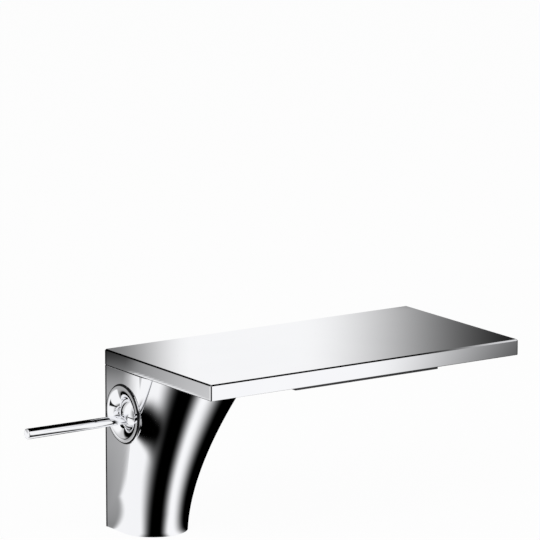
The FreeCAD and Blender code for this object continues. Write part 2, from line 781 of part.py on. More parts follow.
def make_shelf_plate():
    body = new_body("shelf_plate")
    slab = box(body, "Additive", ("left_x", "plate_right_x"), ("plate_front_y", "back_y"),
               ("body_height", "total_height"))
    doc.recompute()
    upright = edges_along(slab, "z")
    corners = body.newObject("PartDesign::Fillet", "corners")
    corners.Base = (slab, upright)
    bind(corners, Radius="upright_edge_radius")
    doc.recompute()
    top_rims = body.newObject("PartDesign::Chamfer", "top_rims")
    top_rims.Base = (corners, edges_along(corners, "xy", "total_height"))
    bind(top_rims, Size="plate_bevel")
    doc.recompute()
    low_rims = body.newObject("PartDesign::Fillet", "low_rims")
    low_rims.Base = (top_rims, edges_along(top_rims, "xy", "body_height"))
    bind(low_rims, Radius="plate_low_edge_radius")
    box(body, "Subtractive",
        ("left_x + plate_side_wall", "plate_right_x - plate_side_wall"),
        ("plate_front_y + plate_side_wall", "back_y - plate_side_wall"),
        ("body_height", "ceiling_z"))
    for x, y in TRAY_SCREWS:
        rod(body, "Additive", "Z", (x, y, "floor_top_z"), "ceiling_z - floor_top_z", "tray_boss_radius")
        rod(body, "Subtractive", "Z", (x, y, "floor_top_z"),
            "tray_screw_length - tray_floor + clearance", "tray_screw_radius + press_clearance")
    return body


def edges_along(feature, letters, height=None):
    """Names of a feature's upright edges, with "z", or with "xy" of the level ones at a height."""
    names = []
    for number, edge in enumerate(feature.Shape.Edges, start=1):
        bounds = edge.BoundBox
        level = bounds.ZLength < 1e-6
        if level != (letters == "xy"):
            continue
        if height is None or abs(bounds.ZMin - value(height)) < 1e-6:
            names.append(f"Edge{number}")
    return names


# Cartridge's standing pieces

def make_cartridge_nut():
    body = on_lever_axis("cartridge_nut")
    flange_front = "counterbore_depth - nut_flange_thickness"
    mouth = "dish_depth + rosette_skin"
    turned(body, [
        (mouth, "nut_bore_radius"),
        ("nut_end", "nut_bore_radius"),
        ("nut_end", "nut_thread_radius"),
        ("counterbore_depth", "nut_thread_radius"),
        ("counterbore_depth", "nut_flange_radius"),
        (flange_front, "nut_flange_radius"),
        (flange_front, "nut_thread_radius"),
        (mouth, "nut_thread_radius - boss_wall"),
    ])
    notch = box(body, "Subtractive",
                ("0", "counterbore_depth"),
                ("-nut_notch_width / 2", "nut_notch_width / 2"),
                ("nut_thread_radius", "rosette_radius"))
    around_axis(body, notch, "nut_notch_count")
    return body


def make_housing():
    body = on_lever_axis("cartridge_housing")
    turned(body, [
        ("nut_end", "housing_mouth_radius"),
        ("stop_front", "housing_mouth_radius"),
        ("stop_front", "housing_bore_radius"),
        ("base_front", "housing_bore_radius"),
        ("base_front", "housing_radius"),
        ("nut_end", "housing_radius"),
    ])
    return body


def make_stop_ring():
    """A ring with a gap at the bottom, in which the rotor's lug swings from cold to hot."""
    body = on_lever_axis("stop_ring")
    ring = turned(body, [
        ("stop_front", "stop_inner_radius"),
        ("stop_front + stop_thickness", "stop_inner_radius"),
        ("stop_front + stop_thickness", "housing_bore_radius - press_clearance"),
        ("stop_front", "housing_bore_radius - press_clearance"),
    ])
    ring.Midplane = True
    bind(ring, Angle="360 - 2 * temperature_angle - stop_lug_angle - stop_play_angle")
    return body


def make_base():
    body = on_lever_axis("cartridge_base")
    rod(body, "Additive", "X", ("base_front", "0", "0"), "base_thickness", "housing_radius")
    groove_depth = "2 * ring_section_radius"
    for side, rise in PORTS:
        rod(body, "Subtractive", "X", ("base_front", side, rise), "base_thickness", "port_radius")
        for start in ("base_front", f"pocket_depth - {groove_depth}"):
            rod(body, "Subtractive", "X", (start, side, rise), groove_depth,
                "seal_ring_radius + ring_section_radius + press_clearance")
            rod(body, "Additive", "X", (start, side, rise), groove_depth,
                "seal_ring_radius - ring_section_radius - press_clearance")
            rod(body, "Subtractive", "X", (start, side, rise), groove_depth, "port_radius")
    for side in ("locating_peg_spread", "-locating_peg_spread"):
        rod(body, "Additive", "X", ("pocket_depth - base_thickness / 2", side, "0"),
            "base_thickness / 2 + locating_peg_length - clearance", "locating_peg_radius")
    return body


def make_seals(label, depth):
    """A sealing ring round each of the three ports."""
    rings = []
    for side, rise in PORTS:
        rings.append(free_ring(f"left_x + {depth}", f"lever_y + {side}", f"lever_height + {rise}",
                               "seal_ring_radius", "ring_section_radius", "X"))
    return group(label, rings)


def make_fixed_disc():
    body = on_lever_axis("fixed_disc")
    rod(body, "Additive", "X", ("fixed_front", "0", "0"), "fixed_disc_thickness", "fixed_disc_radius")
    for side, rise in PORTS:
        rod(body, "Subtractive", "X", ("fixed_front", side, rise), "fixed_disc_thickness", "port_radius")
    return body


# Rosette

def make_rosette():
    """A cover ring with a bevelled edge, a flat rim, a hollow that deepens inwards and the ball's opening."""
    body = on_lever_axis("rosette")
    spigot = "counterbore_radius - clearance"
    rim_outer = "rosette_radius - rosette_bevel"
    rim_inner = f"{rim_outer} - rosette_rim"
    opening = "sqrt((ball_radius + ball_gap) ^ 2 - (ball_depth - dish_depth) ^ 2)"
    opening_back = "sqrt((ball_radius + ball_gap) ^ 2 - (ball_depth - dish_depth - rosette_skin) ^ 2)"
    spigot_end = "counterbore_depth - nut_flange_thickness - clearance"
    ring_depth = f"({spigot_end}) / 2"
    groove_floor = f"{spigot} - 2 * ring_section_radius"
    turned(body, [
        ("-rosette_rise", rim_outer),
        ("-rosette_rise", rim_inner, "dish_radius", 1),
        ("dish_depth", opening),
        ("dish_depth + rosette_skin", opening_back, "dish_radius + rosette_skin", -1),
        (spigot_end, f"{spigot} - 3 * ring_section_radius"),
        (spigot_end, spigot),
        (f"{ring_depth} + ring_section_radius + press_clearance", spigot),
        (f"{ring_depth} + ring_section_radius + press_clearance", groove_floor),
        (f"{ring_depth} - ring_section_radius - press_clearance", groove_floor),
        (f"{ring_depth} - ring_section_radius - press_clearance", spigot),
        ("0", spigot),
        ("0", "rosette_radius"),
    ])
    ring = free_ring(f"left_x + {ring_depth}", "lever_y", "lever_height",
                     f"{spigot} - ring_section_radius + press_clearance", "ring_section_radius", "X")
    return body, group("rosette_ring", [ring])


# Moving pieces

def make_rotor():
    body = on_lever_axis("rotor")
    rod(body, "Additive", "X", ("rotor_front", "0", "0"), "rotor_end - rotor_front", "rotor_radius")
    box(body, "Subtractive", ("rotor_floor", "rotor_end"),
        ("-slider_width / 2 - clearance", "slider_width / 2 + clearance"),
        ("-rotor_radius", "rotor_radius"))
    box(body, "Additive", ("ball_depth", "rotor_front + clearance"), ("-fork_half", "fork_half"),
        ("-ear_radius", "ear_radius"))
    rod(body, "Additive", "Y", ("ball_depth", "-fork_half", "0"), "2 * fork_half", "ear_radius")
    box(body, "Subtractive", ("ball_depth - ear_radius", "rotor_front"), ("-ear_half", "ear_half"),
        ("-ear_radius", "ear_radius"))
    box(body, "Subtractive", ("rotor_front", "rotor_floor"), ("-ear_half", "ear_half"),
        ("-slot_low", "slot_high"))
    rod(body, "Subtractive", "Y", ("ball_depth", "-fork_half", "0"), "2 * fork_half",
        "pivot_radius + press_clearance")
    lug = turned(body, [
        ("stop_front + slide_clearance", "-stop_inner_radius"),
        ("rotor_front", "-stop_inner_radius"),
        ("rotor_front", "-rotor_radius"),
        ("stop_front + slide_clearance", "-rotor_radius"),
    ])
    lug.Midplane = True
    bind(lug, Angle="stop_lug_angle")
    return body


def make_pivot_pin():
    body = on_lever_axis("pivot_pin", "ball_depth")
    rod(body, "Additive", "Y", ("0", "-fork_half", "0"), "2 * fork_half", "pivot_radius")
    return body


def make_lever_spindle():
    """A flat bar between the rotor's ears, with a tenon in the ball and a round end in the slider."""
    body = on_lever_axis("lever_spindle", "ball_depth")
    half_width = "ear_half - slide_clearance"
    box(body, "Additive", ("-ball_recess_depth", "rotor_front - ball_depth"),
        (f"-({half_width})", half_width), ("-spindle_height / 2", "spindle_height / 2"))
    rod(body, "Additive", "X", ("-ball_recess_depth - tenon_length", "0", "0"),
        "ball_recess_depth + tenon_length", "tenon_radius")
    rod(body, "Additive", "X", ("0", "0", "0"), "spindle_arm", "spindle_neck_radius")
    end = body.newObject("PartDesign::AdditiveSphere", "end")
    bind(end, Radius="spindle_end_radius", Placement__Base__x="spindle_arm")
    rod(body, "Subtractive", "Y", ("0", f"-({half_width})", "0"), f"2 * ({half_width})",
        "pivot_radius + running_clearance")
    return body


def make_lever_ball():
    """A cap of a sphere about the pivot, hollow behind, with seats for the tenon and the pin."""
    body = on_lever_axis("lever_ball", "ball_depth")
    rim_radius = "sqrt(ball_radius ^ 2 - ball_rim_inset ^ 2)"
    turned(body, [
        ("-ball_radius", "0", "ball_radius", -1),
        ("-ball_rim_inset", rim_radius),
        ("-ball_rim_inset", "ball_recess_radius"),
        ("-ball_recess_depth", "ball_recess_radius"),
        ("-ball_recess_depth", "0"),
    ])
    rod(body, "Subtractive", "X", ("-ball_recess_depth - tenon_length - clearance", "0", "0"),
        "tenon_length + clearance", "tenon_radius + press_clearance")
    rod(body, "Subtractive", "X", ("-2 * ball_radius", "0", "-pin_drop"),
        "ball_radius + pin_seat", "pin_radius + press_clearance")
    return body


def make_lever_pin():
    """A pin that widens a little from the ball to its tip."""
    body = on_lever_axis("lever_pin", "0", "pin_drop")
    turned(body, [
        ("-pin_reach", "0"),
        ("-pin_reach", "pin_tip_radius - pin_chamfer"),
        ("-pin_reach + pin_chamfer", "pin_tip_radius"),
        ("ball_depth - ball_radius - pin_chamfer", "pin_radius"),
        ("pin_root_depth", "pin_radius"),
        ("pin_root_depth", "0"),
    ])
    return body


def make_disc_slider():
    """A block that slides between the rotor's rails and carries the moving disc on two pegs."""
    body = on_lever_axis("disc_slider")
    box(body, "Additive", ("slider_front", "moving_front"), ("-slider_width / 2", "slider_width / 2"),
        ("disc_lift - slider_reach", "disc_lift + slider_reach"))
    rod(body, "Subtractive", "X", ("slider_front", "0", "0"), "slider_thickness - socket_floor",
        "spindle_end_radius + slide_clearance")
    for side in ("peg_spread", "-peg_spread"):
        rod(body, "Additive", "X", ("moving_front", side, "disc_lift"), "peg_length", "peg_radius")
    return body


def make_moving_disc():
    """A ceramic disc with a mixing hollow in its sealing face."""
    body = on_lever_axis("moving_disc")
    rod(body, "Additive", "X", ("moving_front", "0", "disc_lift"), "moving_disc_thickness",
        "moving_disc_radius")
    box(body, "Subtractive", ("moving_back - recess_depth", "moving_back"),
        ("-inlet_port_spread + port_radius / 2", "inlet_port_spread - port_radius / 2"),
        ("0", "outlet_port_rise + port_radius"))
    for side in ("peg_spread", "-peg_spread"):
        rod(body, "Subtractive", "X", ("moving_front", side, "disc_lift"), "peg_length + clearance",
            "peg_radius + press_clearance")
    return body


def make_all():
    tube, riser_rings = make_riser()
    gasket, lid = make_channel_cover()
    nozzle, nozzle_seal = make_outlet()
    rosette, rosette_ring = make_rosette()
    return [
        make_body_shell(), make_base_gasket(), make_plate_seal(), make_valve_block(), tube, riser_rings,
        make_plate_tray(), make_plate_screws(), gasket, lid, nozzle, nozzle_seal,
        make_flow_straightener(), make_shelf_plate(), make_tray_screws(),
        make_cartridge_nut(), make_housing(), make_stop_ring(), make_base(),
        make_seals("port_seals", "pocket_depth - ring_section_radius"),
        make_seals("disc_seals", "base_front + ring_section_radius"),
        make_fixed_disc(), rosette, rosette_ring,
        make_rotor(), make_pivot_pin(), make_lever_spindle(), make_lever_ball(), make_lever_pin(),
        make_disc_slider(), make_moving_disc(),
    ]


def check(pieces):
    doc.recompute()
    failed = [thing.Name for thing in doc.Objects if set(thing.State) & {"Invalid", "Error"}]
    for piece in pieces:
        if piece.Shape.isNull() or not piece.Shape.isValid() or not piece.Shape.Solids:
            failed.append(piece.Label)
    if failed:
        raise RuntimeError("failed: " + ", ".join(failed))


def export(pieces):
    os.makedirs("parts", exist_ok=True)
    for piece in pieces:
        piece.Shape.exportStep(f"parts/{piece.Label}.step")
        solids = len(piece.Shape.Solids)
        print(f"{piece.Label}: {solids} solid(s), {piece.Shape.Volume:.1f} mm3")


fill_sheet()
PIECES = make_all()
check(PIECES)
export(PIECES)
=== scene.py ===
"""The basin mixer with its shelf spout: finishes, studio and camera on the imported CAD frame."""

import bmesh
import bpy
import numpy as np
from mathutils import Matrix, Vector


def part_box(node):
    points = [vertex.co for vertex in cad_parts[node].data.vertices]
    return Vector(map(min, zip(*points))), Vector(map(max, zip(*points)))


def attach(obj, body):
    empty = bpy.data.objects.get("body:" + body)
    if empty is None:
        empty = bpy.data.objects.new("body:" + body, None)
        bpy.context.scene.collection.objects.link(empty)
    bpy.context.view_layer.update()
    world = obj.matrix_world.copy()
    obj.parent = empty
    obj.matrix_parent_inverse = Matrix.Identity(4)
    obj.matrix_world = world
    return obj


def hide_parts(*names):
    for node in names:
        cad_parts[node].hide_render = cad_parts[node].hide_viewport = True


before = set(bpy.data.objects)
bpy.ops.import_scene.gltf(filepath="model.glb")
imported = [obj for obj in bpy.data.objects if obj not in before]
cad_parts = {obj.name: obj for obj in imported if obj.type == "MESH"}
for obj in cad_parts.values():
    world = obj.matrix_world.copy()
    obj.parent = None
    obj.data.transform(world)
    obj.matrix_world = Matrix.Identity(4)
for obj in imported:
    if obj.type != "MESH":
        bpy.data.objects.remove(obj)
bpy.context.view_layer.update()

# The photograph's camera: where it stands, where it looks and its lens on a square frame
CAMERA_PLACE = Vector((-1.5970, -2.5260, 0.7907))
CAMERA_FORWARD = Vector((0.5444, 0.8141, -0.2021))
CAMERA_RIGHT = Vector((0.8313, -0.5559, 0.0))
CAMERA_LENS = 312.07
CAMERA_SENSOR = 36.0

# The studio tent that the polished metal reflects: sizes in metres, and rings as first, last and count
TENT_RADIUS = 0.90
TENT_HEIGHT = 1.20
TENT_LIFT = 0.0002
TENT_TURNS = 720
NEAR_RINGS = (0.02, 0.37, 100)
MIDDLE_RINGS = (0.3725, 0.57, 80)
OUTER_RINGS = (0.58, TENT_RADIUS, 15)
WALL_RINGS = (0.02, TENT_HEIGHT, 150)
CEILING_RINGS = (TENT_RADIUS, 0.01, 30)

# The tent's light: brightness is that on the screen, from 0 to 1, and a pair without other words is where a
# smooth step starts and ends, in degrees from the camera's side or in metres
TENT_FRONT = -123.8
FLOOR_BELOW = 0.01
CEILING_ABOVE = 0.99 * TENT_HEIGHT
SCREEN_POWER = 2.2
CHROME_SHINE = 0.93
EDGE_RADII = (0.03, 0.05, 0.11, 0.47, 0.60)
RIGHT_WHITE = 0.97
LEFT_WHITE = 0.96

# The grey card behind the left box: its grey at the near end, its growth by a power of the distance and
# where it ends in the dark
CARD_GREY = 0.52
CARD_GROWTH = 0.50
CARD_POWER = 0.66
CARD_NEAR = 0.04
CARD_SPAN = 0.22
CARD_END = (0.41, 0.625)
CARD_DARK = 0.06
CARD_DIM = 0.10
CARD_DIM_ANGLES = (107.5, 112.5)
CARD_LAST_ANGLES = (114.0, 122.0)

# The grey sheet over the left box: its border's radius and its grey, both as factors for the powers of the
# angle past its start, and the border's soft edge in shares of that radius
SHEET_ANGLE = 103.0
SHEET_ONSET = (-4.0, 0.0)
SHEET_BORDER = (0.4225, 0.0088, 0.0002)
SHEET_EDGE = (0.952, 0.960)
SHEET_GREY = (0.77, -0.0145, 0.0, -0.00024)

# The left box on the wall
WALL_WHITE = 0.97
WALL_FADE = 0.18
WALL_FADE_ANGLES = (90.0, 108.0)
WALL_RISE = (3.0, 56.0)
WALL_FALL = (114.0, 126.0)

# The dark strip on the floor at the left: the radii of its two edges and their softness are factors for the
# powers of the share of its span
FLAG_START = 15.0
FLAG_SPAN = 65.0
FLAG_LAST_SHARE = 1.4
FLAG_DEPTH = 0.99
FLAG_RISE = (3.6, 33.6)
FLAG_FALL = (90.0, 98.0)
FLAG_NEAR = (0.1148, 0.0318, 0.0675)
FLAG_NEAR_SOFT = (0.0155, -0.0093)
FLAG_FAR = (0.1303, 0.0692, 0.0716)
FLAG_FAR_SOFT = (0.0089, 0.0041)

# The sheet behind the mixer, the light high on the wall and the ceiling
BACK_WHITE = 0.955
BACK_FADE = 0.5
BACK_RISE = (158.0, 173.7)
BACK_FADE_ANGLES = (179.4, 184.0)
BACK_FALL = (184.0, 196.0)
BACK_FOOT = (0.262, 0.280)
BACK_TOP = (0.355, 0.380)
UPPER_WHITE = 0.85
UPPER_MIDDLE = 10.0
UPPER_SIDES = (90.0, 115.0)
UPPER_FOOT = (0.15, 0.40)
UPPER_TOP = (0.95, 1.10)
SKYLIGHT_EDGE = (0.25, 0.50)

# The floor, the fill from all round and the two lamps
FLOOR_SIZE = 6.0
FLOOR_GLOW = 0.96
FLOOR_WHITE = (0.94, 0.94, 0.94, 1.0)
FLOOR_ROUGHNESS = 0.9
WORLD_FILL = 0.55
LAMP_SIZE = 1.2
LAMP_TARGET = (0.05, -0.03, 0.06)
KEY_PLACE = (-1.2, -1.0, 1.4)
KEY_POWER = 14.0
FILL_PLACE = (1.3, -1.1, 1.1)
FILL_POWER = 8.0

# The column, in metres: it grows from foot to top by a power of the height
COLUMN_LEFT = -0.0225
COLUMN_BACK = 0.0240
COLUMN_HEIGHT = 0.1094
FLARE_POWER = 1.625
FOOT_WIDTH = 0.0450
FOOT_DEPTH = 0.0465
WIDTH_GROWTH = 0.0366
DEPTH_GROWTH = 0.0369
UPRIGHT_EDGE = 0.0012
SKIN_DEPTH = 0.0002

# The painted shade along the joint under the plate's left side and the painted dark reflection along the
# left back edge, in metres, with their painted tones, and the rubber's shine
JOINT_SHADE = 0.00045
BACK_EDGE_SHADE = 0.0025
SHADE_REACH = 0.0010
JOINT_PAINTED_SHADE_TONE = (0.02, 0.02, 0.022, 1.0)
BACK_EDGE_PAINTED_REFLECTION_TONE = (0.03, 0.03, 0.032, 1.0)
RUBBER_SHINE = 0.12

# The darkest and the lightest tone of each plastic
DARK_TONES = ((0.020, 0.020, 0.022), (0.034, 0.034, 0.037))
WHITE_TONES = ((0.70, 0.69, 0.66), (0.80, 0.79, 0.76))
BLUE_TONES = ((0.03, 0.14, 0.42), (0.05, 0.20, 0.52))
GREY_TONES = ((0.26, 0.26, 0.27), (0.34, 0.34, 0.35))

# The lever and its rosette, in metres, with the axis that both turn about
LEVER_FACE = COLUMN_LEFT
LEVER_Y = 0.0008
LEVER_Z = 0.0805
PIVOT_X = -0.0110
BALL_RADIUS = 0.0120
BALL_RIM = 0.00167
BALL_HOLLOW = 0.00951
BALL_HOLLOW_DEPTH = 0.0052
PIN_DROP = 0.0035
PIN_ROOT_RADIUS = 0.00315
PIN_TIP_RADIUS = 0.0035
PIN_TIP_EDGE = 0.0005
PIN_GROOVE = 0.0003
ROSETTE_RADIUS = 0.0200
ROSETTE_RISE = 0.0012
ROSETTE_BEVEL = 0.00095
ROSETTE_RIM = 0.0022
DISH_DEPTH = 0.0039
DISH_RADIUS = 0.0083
DISH_OPENING = 0.0098
ROSETTE_BACK = (0.0049, 0.0105)
ROSETTE_SPIGOT = (0.0024, 0.0187)
TRIM_START = 0.30
TRIM_RIM = 0.0004
TRIM_LIFT = 0.00003
PIN_EDGE_POINTS = 9
PIN_CONE_POINTS = 30
PIN_TURNS = 128
BALL_TURNS = 180
DISH_POINTS = 60
ROSETTE_TURNS = 240
SHARP_ANGLE = 8.0
WELD_DISTANCE = 1e-8

# Places of the Mix node's sockets, because those for numbers, vectors and colours share their names
VECTOR_FIRST, VECTOR_SECOND, VECTOR_RESULT = 4, 5, 1
COLOUR_FIRST, COLOUR_SECOND, COLOUR_RESULT = 6, 7, 2


# Node helpers

def add_node(tree, kind, **settings):
    """A new node of that kind, with its settings given by name."""
    node = tree.nodes.new(kind)
    for name, value in settings.items():
        setattr(node, name, value)
    return node


def new_material(name):
    """An empty material with a Principled shader joined to its output."""
    material = bpy.data.materials.new(name)
    material.use_nodes = True
    tree = material.node_tree
    tree.nodes.clear()
    output = add_node(tree, "ShaderNodeOutputMaterial")
    shader = add_node(tree, "ShaderNodeBsdfPrincipled")
    tree.links.new(shader.outputs["BSDF"], output.inputs["Surface"])
    return material, tree, shader


def new_group(name, inputs, outputs):
    """An empty node group with named inputs (name, kind, default) and outputs (name, kind)."""
    group = bpy.data.node_groups.new(name, "ShaderNodeTree")
    for label, kind, default in inputs:
        socket = group.interface.new_socket(label, in_out="INPUT", socket_type=kind)
        socket.default_value = default
    for label, kind in outputs:
        group.interface.new_socket(label, in_out="OUTPUT", socket_type=kind)
    entry = add_node(group, "NodeGroupInput")
    leave = add_node(group, "NodeGroupOutput")
    return group, entry, leave


def place_group(tree, group, **values):
    """The group as a node in a material, with its own values on the inputs."""
    node = add_node(tree, "ShaderNodeGroup")
    node.node_tree = group
    for label, value in values.items():
        node.inputs[label.replace("_", " ")].default_value = value
    return node


def calc(tree, operation, *values):
    """A Math node's result, where each value is a number or another node's output."""
    node = add_node(tree, "ShaderNodeMath", operation=operation)
    for socket, value in zip(node.inputs, values):
        if isinstance(value, float):
            socket.default_value = value
        else:
            tree.links.new(value, socket)
    return node.outputs[0]


# Effects for the finishes

def surface_grain_group():
    """Two sizes of noise: the broad one shifts the colour, the fine one the gloss and the relief."""
    group, entry, leave = new_group(
        "surface_grain",
        [
            ("Dark Tone", "NodeSocketColor", (0.5, 0.5, 0.5, 1.0)),
            ("Light Tone", "NodeSocketColor", (0.6, 0.6, 0.6, 1.0)),
            ("Broad Scale", "NodeSocketFloat", 40.0),
            ("Fine Scale", "NodeSocketFloat", 900.0),
            ("Smooth", "NodeSocketFloat", 0.3),
            ("Rough", "NodeSocketFloat", 0.5),
            ("Relief", "NodeSocketFloat", 0.00001),
        ],
        [
            ("Colour", "NodeSocketColor"),
            ("Roughness", "NodeSocketFloat"),
            ("Normal", "NodeSocketVector"),
        ],
    )
    place = add_node(group, "ShaderNodeTexCoord")
    broad = add_node(group, "ShaderNodeTexNoise")
    broad.inputs["Detail"].default_value = 3.0
    fine = add_node(group, "ShaderNodeTexNoise")
    fine.inputs["Detail"].default_value = 2.0
    tone = add_node(group, "ShaderNodeMix", data_type="RGBA")
    gloss = add_node(group, "ShaderNodeMapRange")
    gloss.inputs["From Min"].default_value = 0.3
    gloss.inputs["From Max"].default_value = 0.7
    bump = add_node(group, "ShaderNodeBump")
    group.links.new(place.outputs["Object"], broad.inputs["Vector"])
    group.links.new(place.outputs["Object"], fine.inputs["Vector"])
    group.links.new(entry.outputs["Broad Scale"], broad.inputs["Scale"])
    group.links.new(entry.outputs["Fine Scale"], fine.inputs["Scale"])
    group.links.new(broad.outputs["Fac"], tone.inputs["Factor"])
    group.links.new(entry.outputs["Dark Tone"], tone.inputs[COLOUR_FIRST])
    group.links.new(entry.outputs["Light Tone"], tone.inputs[COLOUR_SECOND])
    group.links.new(fine.outputs["Fac"], gloss.inputs["Value"])
    group.links.new(entry.outputs["Smooth"], gloss.inputs["To Min"])
    group.links.new(entry.outputs["Rough"], gloss.inputs["To Max"])
    group.links.new(fine.outputs["Fac"], bump.inputs["Height"])
    group.links.new(entry.outputs["Relief"], bump.inputs["Distance"])
    group.links.new(tone.outputs[COLOUR_RESULT], leave.inputs["Colour"])
    group.links.new(gloss.outputs["Result"], leave.inputs["Roughness"])
    group.links.new(bump.outputs["Normal"], leave.inputs["Normal"])
    return group


def column_normal_group():
    """The exact normal of the column's outer face, so that its mirror shows no trace of the mesh.

    At each height the face is an arc with straight sides behind it. The arc's radius is half the width, its
    middle lies one radius right of the left side, and the straight sides take the normal of the arc's end.
    Away from that face, and on the back edges, the mesh's own normal stays."""
    group, _, leave = new_group("column_normal", [], [("Normal", "NodeSocketVector")])
    place = add_node(group, "ShaderNodeTexCoord")
    axes = add_node(group, "ShaderNodeSeparateXYZ")
    group.links.new(place.outputs["Object"], axes.inputs["Vector"])
    x, y, z = axes.outputs
    height = calc(group, "DIVIDE", z, COLUMN_HEIGHT)
    grown = calc(group, "POWER", height, FLARE_POWER)
    slope = calc(group, "POWER", height, FLARE_POWER - 1.0)
    radius = calc(group, "MULTIPLY_ADD", grown, WIDTH_GROWTH / 2, FOOT_WIDTH / 2)
    depth = calc(group, "MULTIPLY_ADD", grown, DEPTH_GROWTH, FOOT_DEPTH)
    widening = calc(group, "MULTIPLY", slope, FLARE_POWER * WIDTH_GROWTH / 2 / COLUMN_HEIGHT)
    deepening = calc(group, "MULTIPLY", slope, FLARE_POWER * DEPTH_GROWTH / COLUMN_HEIGHT)
    right = calc(group, "SUBTRACT", calc(group, "SUBTRACT", x, COLUMN_LEFT), radius)
    middle = calc(group, "SUBTRACT", calc(group, "ADD", radius, COLUMN_BACK), depth)
    behind = calc(group, "MINIMUM", calc(group, "SUBTRACT", y, middle), 0.0)
    square = calc(group, "MULTIPLY_ADD", right, right, calc(group, "MULTIPLY", behind, behind))
    reach = calc(group, "SQRT", square)
    normal_x = calc(group, "DIVIDE", right, reach)
    normal_y = calc(group, "DIVIDE", behind, reach)
    sideways = calc(group, "MULTIPLY_ADD", normal_x, widening, widening)
    forward = calc(group, "MULTIPLY", normal_y, calc(group, "SUBTRACT", deepening, widening))
    normal_z = calc(group, "SUBTRACT", forward, sideways)
    exact = add_node(group, "ShaderNodeCombineXYZ")
    for value, socket in zip((normal_x, normal_y, normal_z), exact.inputs):
        group.links.new(value, socket)
    turned = add_node(group, "ShaderNodeVectorTransform", vector_type="NORMAL")
    turned.convert_from = "OBJECT"
    turned.convert_to = "WORLD"
    group.links.new(exact.outputs["Vector"], turned.inputs["Vector"])
    on_face = calc(group, "COMPARE", reach, radius, SKIN_DEPTH)
    off_back = calc(group, "LESS_THAN", y, COLUMN_BACK - UPRIGHT_EDGE - SKIN_DEPTH)
    surface = add_node(group, "ShaderNodeNewGeometry")
    blend = add_node(group, "ShaderNodeMix", data_type="VECTOR")
    group.links.new(calc(group, "MULTIPLY", on_face, off_back), blend.inputs["Factor"])
    group.links.new(surface.outputs["Normal"], blend.inputs[VECTOR_FIRST])
    group.links.new(turned.outputs["Vector"], blend.inputs[VECTOR_SECOND])
    group.links.new(blend.outputs[VECTOR_RESULT], leave.inputs["Normal"])
    return group


# Finishes

def grained_finish(name, group, metallic, **values):
    """A finish whose colour, gloss and relief all come from the shared grain."""
    material, tree, shader = new_material(name)
    grain = place_group(tree, group, **values)
    shader.inputs["Metallic"].default_value = metallic
    tree.links.new(grain.outputs["Colour"], shader.inputs["Base Color"])
    tree.links.new(grain.outputs["Roughness"], shader.inputs["Roughness"])
    tree.links.new(grain.outputs["Normal"], shader.inputs["Normal"])
    return material


def polished_chrome(name, group):
    """Bright plated metal: almost a mirror, with the faint unevenness of hand polishing."""
    return grained_finish(
        name, group, 1.0,
        Dark_Tone=(0.90, 0.905, 0.93, 1.0), Light_Tone=(0.94, 0.945, 0.965, 1.0),
        Broad_Scale=30.0, Fine_Scale=160.0, Smooth=0.012, Rough=0.024, Relief=0.0,
    )


def paint_left_shade(finish, axis, operation, limit, tone):
    """Paints shade into a finish's colour on the left face, where the place on the axis is beyond the
    limit.
    """
    tree = finish.node_tree
    shader = tree.nodes["Principled BSDF"]
    place = add_node(tree, "ShaderNodeTexCoord")
    axes = add_node(tree, "ShaderNodeSeparateXYZ")
    tree.links.new(place.outputs["Object"], axes.inputs["Vector"])
    beyond = calc(tree, operation, axes.outputs[axis], limit)
    left = calc(tree, "LESS_THAN", axes.outputs["X"], COLUMN_LEFT + SHADE_REACH)
    blend = add_node(tree, "ShaderNodeMix", data_type="RGBA")
    tree.links.new(calc(tree, "MULTIPLY", beyond, left), blend.inputs["Factor"])
    tree.links.new(shader.inputs["Base Color"].links[0].from_socket, blend.inputs[COLOUR_FIRST])
    blend.inputs[COLOUR_SECOND].default_value = tone
    tree.links.new(blend.outputs[COLOUR_RESULT], shader.inputs["Base Color"])


def column_chrome(group):
    """The same chrome on the column, with the exact normal of its flaring face and a painted dark
    reflection on its back edge.
    """
    chrome = polished_chrome("column_chrome", group)
    tree = chrome.node_tree
    normal = place_group(tree, column_normal_group())
    tree.links.new(normal.outputs["Normal"], tree.nodes["Principled BSDF"].inputs["Normal"])
    # Painted dark reflection: the chrome's colour is darkened along the left back edge
    paint_left_shade(chrome, "Y", "GREATER_THAN", COLUMN_BACK - BACK_EDGE_SHADE, BACK_EDGE_PAINTED_REFLECTION_TONE)
    return chrome


def plate_chrome(group):
    """The same chrome on the plate, with painted shade along the low left rim and a painted dark reflection
    at the left back edge.
    """
    chrome = polished_chrome("plate_chrome", group)
    # Painted shade: the chrome's colour is darkened along the joint under the plate's low left rim
    paint_left_shade(chrome, "Z", "LESS_THAN", COLUMN_HEIGHT + JOINT_SHADE, JOINT_PAINTED_SHADE_TONE)
    # Painted dark reflection: the chrome's colour is darkened along the left back edge
    paint_left_shade(chrome, "Y", "GREATER_THAN", COLUMN_BACK - BACK_EDGE_SHADE, BACK_EDGE_PAINTED_REFLECTION_TONE)
    return chrome


def cast_brass(group):
    """Yellow metal, sand cast and then machined, with a fine grain."""
    return grained_finish(
        "cast_brass", group, 1.0,
        Dark_Tone=(0.62, 0.44, 0.20, 1.0), Light_Tone=(0.80, 0.61, 0.32, 1.0),
        Broad_Scale=60.0, Fine_Scale=1500.0, Smooth=0.28, Rough=0.50, Relief=0.00003,
    )


def turned_steel(group):
    """Stainless steel from the lathe."""
    return grained_finish(
        "turned_steel", group, 1.0,
        Dark_Tone=(0.48, 0.48, 0.49, 1.0), Light_Tone=(0.62, 0.62, 0.63, 1.0),
        Broad_Scale=120.0, Fine_Scale=2600.0, Smooth=0.18, Rough=0.34, Relief=0.00001,
    )


